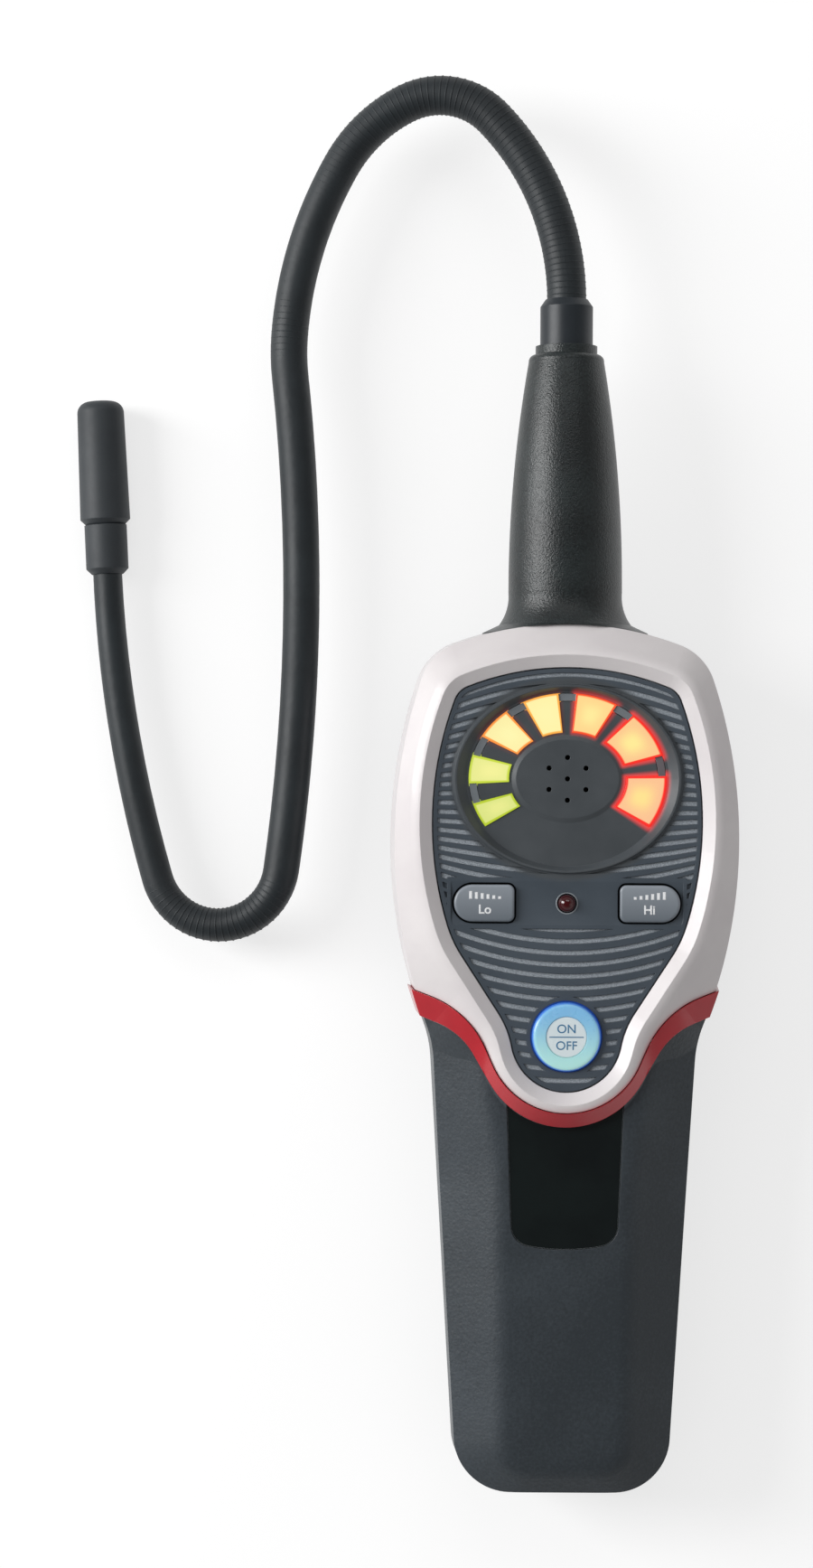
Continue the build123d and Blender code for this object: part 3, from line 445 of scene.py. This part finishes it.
g = ring_finish.g
upwards = g.span(ring_finish.axis("Y"), (power_y - 7.0) * mm, (power_y + 6.0) * mm,
                 kind="SMOOTHSTEP")
tones = g.mix(upwards, srgb(178, 224, 218), srgb(126, 182, 222))
from_middle = g.vector("SUBTRACT", ring_finish.at, (0.0, power_y * mm, 0.0))[0]
distance = g.vector("LENGTH", g.vector("MULTIPLY", from_middle, (1.0, 1.0, 0.0))[0])["Value"]
ring_edge = g.span(distance, 6.85 * mm, 7.35 * mm, kind="SMOOTHSTEP")
ring_finish.paint(g.mix(ring_edge, tones, srgb(64, 120, 210)))
ring_finish.glow(g.mix(ring_edge, tones, srgb(56, 110, 220)), 0.2)

# Keys: painted lighter towards the top and darker towards the bottom as shading from light above, with
# a painted dark shadow line round their lower edge

g = key_finish.g
upwards = g.span(key_finish.axis("Y"), -31.0 * mm, -23.0 * mm)
painted_key_shading = g.mix(upwards, srgb(104, 112, 120), srgb(146, 153, 161))
# Painted shadow: a dark line below this height, round the key's lower edge
above_shadow = g.span(key_finish.axis("Z"), 39.62 * mm, 39.8 * mm)
key_finish.paint(g.mix(above_shadow, srgb(20, 24, 28), painted_key_shading))


# Lettering and marks

def piece(name, mesh, body, finish):
    thing = bpy.data.objects.new(name, mesh)
    scene.collection.objects.link(thing)
    mesh.materials.clear()
    mesh.materials.append(finish.material)
    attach(thing, body)


def evaluated_mesh(thing):
    """The finished mesh of an object, which is then taken out of the scene."""
    scene.collection.objects.link(thing)
    bpy.context.view_layer.update()
    shown = thing.evaluated_get(bpy.context.evaluated_depsgraph_get())
    mesh = bpy.data.meshes.new_from_object(shown)
    bpy.data.objects.remove(thing)
    return mesh


def word(text, height, x, y, z, bold):
    """A word as a thin solid, centred on a place, its capitals as tall as the height given."""
    capital_share, half_thickness = 0.72, 0.02
    curve = bpy.data.curves.new("word", "FONT")
    curve.body = text
    curve.align_x, curve.align_y = "CENTER", "CENTER"
    curve.size = height * mm / capital_share
    curve.extrude = half_thickness * mm
    curve.offset = bold * mm
    mesh = evaluated_mesh(bpy.data.objects.new("word", curve))
    heights = [v.co.y for v in mesh.vertices]
    mesh.transform(Matrix.Translation((0, -(max(heights) + min(heights)) / 2, 0)))
    mesh.transform(Matrix.Translation((x * mm, y * mm, z * mm)))
    return mesh


def bar_mesh(spans, z, thick=0.03):
    """Thin flat bars, each given by its low and high X and its low and high Y."""
    bm = bmesh.new()
    for x0, x1, y0, y1 in spans:
        box = bmesh.ops.create_cube(bm, size=1.0)["verts"]
        scale = Matrix.Diagonal(((x1 - x0) * mm, (y1 - y0) * mm, thick * mm, 1))
        place = Matrix.Translation(((x0 + x1) / 2 * mm, (y0 + y1) / 2 * mm, z * mm))
        bmesh.ops.transform(bm, matrix=place @ scale, verts=box)
    mesh = bpy.data.meshes.new("bars")
    bm.to_mesh(mesh)
    bm.free()
    return mesh


def level_bars(x, rising):
    """Six bars on one line that rise or fall from left to right, round a key's middle."""
    count, pitch, first_left, first_right = 6, 1.25, -3.4, -2.75
    foot_y, lowest_top_y, growth = -25.9, -25.3, 0.22
    return [(x + first_left + pitch * k, x + first_right + pitch * k, foot_y,
             lowest_top_y + growth * (k if rising else count - 1 - k)) for k in range(count)]


for side, text, body in ((-1, "Lo", "low_button_body"), (1, "Hi", "high_button_body")):
    x = side * key_x
    legend = word(text, 1.95, x, key_row_y - 1.3, key_top_z, bold=0.075)
    piece(f"{text}_legend", legend, body, white_print)
    bars = bar_mesh(level_bars(x, rising=side > 0), key_top_z)
    piece(f"{text}_level_bars", bars, body, white_print)
for name, mesh in (
    ("On_legend", word("ON", 1.9, 0, power_y + 1.8, power_disc_z, bold=0.02)),
    ("Off_legend", word("OFF", 1.9, 0, power_y - 1.8, power_disc_z, bold=0.02)),
    ("Switch_line", bar_mesh([(-3.7, 3.7, power_y - 0.12, power_y + 0.12)], power_disc_z)),
):
    piece(name, mesh, "power_button_body", blue_print)


# Coil ridges that show through the sleeve where the probe bends

probe_lean = radians(8.884)
first_diameter = 8.6
# Each bend's radius, turn in degrees, and the sleeve's diameter at its end
bends = [
    (59, 44, 8.6), (17, 71.5, 8.5), (33, 34.5, 8.3), (88, 26, 8.2), (50, 10.5, 8.2),
    (435, -14.5, 8.0), (14.5, -77.7, 7.4), (14.5, -77.7, 7.0), (296, -8.5, 6.7), (280, -5.2, 6.5),
]
ridge_sizes = {"Pitch": 1.35 * mm, "Proud": 0.13 * mm, "Sunk": 0.16 * mm, "Thickness": 0.42 * mm}


def probe_line(step=0.25, full_ridge_radius=50):
    """Places along the probe's centre line: x, y, direction, sleeve radius and how far the
    ridges show there, from none to one."""
    places, heading, last = [], 90.0, first_diameter
    x, y = 0.0, probe_start_y
    for radius, turn, diameter in bends:
        side = 1 if turn > 0 else -1
        cx = x - sin(radians(heading)) * radius * side
        cy = y + cos(radians(heading)) * radius * side
        count = max(2, int(radius * radians(abs(turn)) / step))
        for k in range(count):
            part = k / count
            angle = radians(heading - 90 * side + turn * part)
            size = (last + (diameter - last) * part) / 2
            places.append((cx + cos(angle) * radius, cy + sin(angle) * radius,
                           radians(heading + turn * part), size,
                           min(1.0, full_ridge_radius / radius)))
        end = radians(heading - 90 * side + turn)
        x, y = cx + cos(end) * radius, cy + sin(end) * radius
        heading, last = heading + turn, diameter
    return places


def softened(values, reach=40):
    """Each value averaged with its neighbours, so that the ridges fade in and out."""
    spans = [values[max(0, k - reach):k + reach + 1] for k in range(len(values))]
    return [sum(span) / len(span) for span in spans]


def ridge_tree(material):
    """Rings set along a line by a fixed pitch, each as large as the line's own radius there."""
    tree = bpy.data.node_groups.new("Coil Ridges", "GeometryNodeTree")
    geometry = "NodeSocketGeometry"
    tree.interface.new_socket(name="Geometry", in_out="INPUT", socket_type=geometry)
    for label, value in ridge_sizes.items():
        socket = tree.interface.new_socket(name=label, in_out="INPUT", socket_type=number)
        socket.default_value = value
    tree.interface.new_socket(name="Geometry", in_out="OUTPUT", socket_type=geometry)
    g = Graph(tree)
    sink = tree.nodes.new("NodeGroupOutput")
    given = tree.nodes.new("NodeGroupInput").outputs

    def named(label, kind="FLOAT"):
        node = g.add("GeometryNodeInputNamedAttribute", {"data_type": kind}, Name=label)
        return node.outputs["Attribute"]

    line = g.add("GeometryNodeMeshToCurve", Mesh=given["Geometry"])
    even = g.add("GeometryNodeResampleCurve", {"mode": "LENGTH"}, Curve=line.outputs[0],
                 Length=given["Pitch"])
    shown = g.math("MULTIPLY", named("bend"), g.math("ADD", given["Proud"], given["Sunk"]))
    size = g.math("ADD", named("size"), g.math("SUBTRACT", shown, given["Sunk"]))
    size = g.math("SUBTRACT", size, g.math("MULTIPLY", given["Thickness"], 0.5))
    ring = g.add("GeometryNodeCurvePrimitiveCircle", Resolution=40, Radius=1.0)
    facing = g.add("FunctionNodeAlignRotationToVector", {"axis": "Z"},
                   Vector=named("along", "FLOAT_VECTOR"))
    rings = g.add("GeometryNodeInstanceOnPoints", Points=even.outputs[0],
                  Instance=ring.outputs[0], Rotation=facing.outputs[0], Scale=size)
    real = g.add("GeometryNodeRealizeInstances", Geometry=rings.outputs[0])
    section = g.add("GeometryNodeCurvePrimitiveCircle", Resolution=8, Radius=0.5)
    tube = g.add("GeometryNodeCurveToMesh", Curve=real.outputs[0],
                 Profile_Curve=section.outputs[0], Scale=given["Thickness"])
    smooth = g.add("GeometryNodeSetShadeSmooth", Geometry=tube.outputs[0])
    painted = g.add("GeometryNodeSetMaterial", Geometry=smooth.outputs[0], Material=material)
    tree.links.new(painted.outputs[0], sink.inputs[0])
    return tree


def applied(name, mesh, tree, values):
    """A mesh with a node tree's result baked in."""
    holder = bpy.data.objects.new(name, mesh)
    modifier = holder.modifiers.new(name, "NODES")
    modifier.node_group = tree
    for item in tree.interface.items_tree:
        if item.in_out == "INPUT" and item.name in values:
            modifier[item.identifier] = values[item.name]
    return evaluated_mesh(holder)


def leaned(x, y):
    """A place or direction in the probe's own plane, turned up as that plane leans."""
    return (x * cos(probe_lean), y, x * sin(probe_lean))


places = probe_line()
points = [Vector(leaned(x, y)) + Vector((0, 0, neck_height)) for x, y, *_ in places]
line_mesh = bpy.data.meshes.new("probe line")
line_mesh.from_pydata([point * mm for point in points],
                      [(k, k + 1) for k in range(len(places) - 1)], [])
sizes = [size * mm for _, _, _, size, _ in places]
for label, values in (("size", sizes), ("bend", softened([place[-1] for place in places]))):
    line_mesh.attributes.new(label, "FLOAT", "POINT").data.foreach_set("value", values)
along = line_mesh.attributes.new("along", "FLOAT_VECTOR", "POINT")
along.data.foreach_set("vector", [value for _, _, heading, _, _ in places
                                  for value in leaned(cos(heading), sin(heading))])
ridges = applied("Probe ridges", line_mesh, ridge_tree(sleeve_finish.material), ridge_sizes)
piece("Probe_coil_ridges", ridges, "casing", sleeve_finish)


# Thin bright ring round the status lamp

def ring_mesh(radius, tube, y, z, flatness=0.6, around=64, section=10):
    verts, faces = [], []
    for i in range(around):
        a = 2 * pi * i / around
        for j in range(section):
            b = 2 * pi * j / section
            r = radius + tube * cos(b)
            height = z + tube * flatness * sin(b)
            verts.append((r * cos(a) * mm, (y + r * sin(a)) * mm, height * mm))
    for i in range(around):
        here, beyond = i * section, (i + 1) % around * section
        for j in range(section):
            k = (j + 1) % section
            faces.append((here + j, beyond + j, beyond + k, here + k))
    mesh = bpy.data.meshes.new("ring")
    mesh.from_pydata(verts, [], faces)
    mesh.shade_smooth()
    return mesh


lamp_rim = ring_mesh(radius=2.25, tube=0.16, y=key_row_y, z=38.62)
piece("Status_lamp_rim", lamp_rim, "casing", rim_finish)


# Floor, light and camera

def floor_finish():
    """A matt grey that cameras and mirrors see as white, paler far away."""
    material = bpy.data.materials.new("Studio floor")
    material.use_nodes = True
    tree = material.node_tree
    tree.nodes.clear()
    g = Graph(tree)
    shader = g.add("ShaderNodeBsdfPrincipled", Base_Color=(0.4, 0.4, 0.4, 1), Roughness=0.9,
                   Specular_IOR_Level=0.1, Emission_Color=(1, 1, 1, 1))
    g.add("ShaderNodeOutputMaterial", Surface=shader.outputs[0])
    path = g.add("ShaderNodeLightPath").outputs
    shown = g.math("MAXIMUM", path["Is Camera Ray"], path["Is Glossy Ray"])
    shown = g.math("MAXIMUM", shown, path["Is Transmission Ray"])
    away = g.vector("LENGTH", g.add("ShaderNodeTexCoord").outputs["Object"])["Value"]
    near, distant, near_glow, distant_glow = 0.15, 1.3, 0.68, 0.88
    pale = g.span(away, near, distant, near_glow, distant_glow, kind="SMOOTHSTEP")
    g.put(shader, "Emission Strength", g.math("MULTIPLY", shown, pale))
    return material


def studio_world():
    """Soft light from all round, seen as white, with a darker sky in mirrored views."""
    world = bpy.data.worlds.new("Studio world")
    world.use_nodes = True
    world.node_tree.nodes.clear()
    g = Graph(world.node_tree)
    path = g.add("ShaderNodeLightPath").outputs
    seen = g.math("MAXIMUM", path["Is Camera Ray"], path["Is Transmission Ray"])
    look = g.add("ShaderNodeSeparateXYZ", Vector=g.add("ShaderNodeTexCoord").outputs["Generated"])
    soft_light, mirrored_sky = 0.34, 0.07
    steepness = g.math("ABSOLUTE", look.outputs["Z"])
    mirrored = g.span(steepness, 0.3, 0.9, soft_light, mirrored_sky, kind="SMOOTHSTEP")
    ambient = g.math("MULTIPLY", path["Is Glossy Ray"], g.math("SUBTRACT", mirrored, soft_light))
    ambient = g.math("ADD", soft_light, ambient)
    white = g.math("MULTIPLY", seen, g.math("SUBTRACT", 1.0, ambient))
    strength = g.math("ADD", ambient, white)
    background = g.add("ShaderNodeBackground", Color=(1, 1, 1, 1), Strength=strength)
    g.add("ShaderNodeOutputWorld", Surface=background.outputs[0])
    return world


def softbox(name, place, size, watts, aim=(0, -0.02, 0.02)):
    data = bpy.data.lights.new(name, "AREA")
    data.shape = "RECTANGLE"
    data.size, data.size_y = size
    data.energy = watts
    lamp = bpy.data.objects.new(name, data)
    lamp.location = place
    lamp.rotation_euler = (Vector(aim) - Vector(place)).to_track_quat("-Z", "Y").to_euler()
    scene.collection.objects.link(lamp)


floor_reach, floor_z = 6.0, -0.0002
corners = [(x * floor_reach, y * floor_reach, floor_z) for x, y in ((-1, -1), (1, -1), (1, 1), (-1, 1))]
floor_mesh = bpy.data.meshes.new("Studio floor")
floor_mesh.from_pydata(corners, [], [(0, 1, 2, 3)])
floor_mesh.materials.append(floor_finish())
floor = bpy.data.objects.new("Studio_floor", floor_mesh)
scene.collection.objects.link(floor)

scene.view_settings.view_transform = "Standard"
scene.world = studio_world()
softbox("Key softbox", (-1.12, 0.3, 0.68), (0.5, 0.9), 15.0)
softbox("Top softbox", (0.1, 0.75, 1.0), (0.9, 0.4), 1.6)
softbox("Fill softbox", (0.9, -0.3, 0.8), (0.6, 0.8), 0.3)

# The photograph looks straight down, turned by a third of a degree
camera_data = bpy.data.cameras.new("Photo camera")
camera_data.sensor_fit = "VERTICAL"
camera_data.angle_y = radians(25.55)
camera_data.clip_start = 0.01
camera = bpy.data.objects.new("Photo camera", camera_data)
camera.location = (-34.694 * mm, -1.292 * mm, 783 * mm)
camera.rotation_euler = (0, 0, 0.00553)
scene.collection.objects.link(camera)
scene.camera = camera
